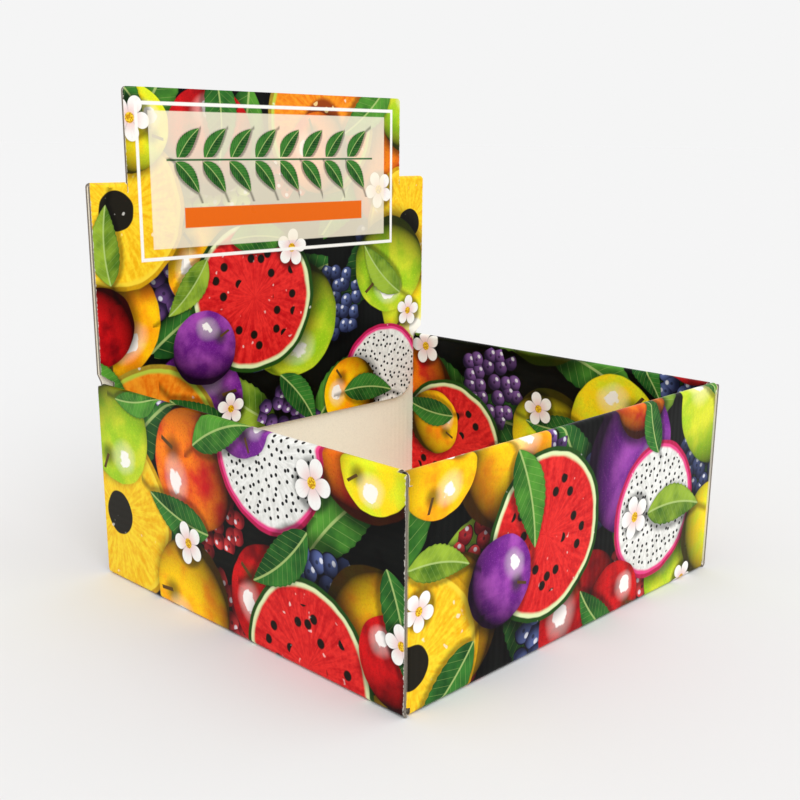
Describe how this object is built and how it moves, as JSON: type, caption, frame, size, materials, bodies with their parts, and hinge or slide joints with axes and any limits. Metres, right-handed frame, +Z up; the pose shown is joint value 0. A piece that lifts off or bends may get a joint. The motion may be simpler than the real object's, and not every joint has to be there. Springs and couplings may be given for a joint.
{
  "type": "counter display box",
  "caption": "Folded board counter display box: an open tray with rolled walls and a lid folded in half as a standing header with a raised tab.",
  "frame": {"origin": "middle of the tray's underside", "axes": "+X along the front wall to the right as seen from the front, +Y from the front wall to the back wall, +Z up"},
  "size_m": [0.2, 0.186, 0.211],
  "materials": {
    "printed_board": "gloss film over print"
  },
  "bodies": {
    "tray": {"tray": "printed_board"},
    "rear_leaf": {"lid_rear_leaf": "printed_board"},
    "front_leaf": {"lid_front_leaf": "printed_board"}
  },
  "joints": [
    {"name": "lid_hinge", "type": "hinge", "parent": "tray", "child": "rear_leaf", "pos_m": [0, 0.093, 0.087], "axis": [-1, 0, 0], "range_deg": [0, 110]},
    {"name": "header_fold", "type": "hinge", "parent": "rear_leaf", "child": "front_leaf", "pos_m": [0, 0.0896, 0.17], "axis": [-1, 0, 0], "range_deg": [0, 170]}
  ]
}
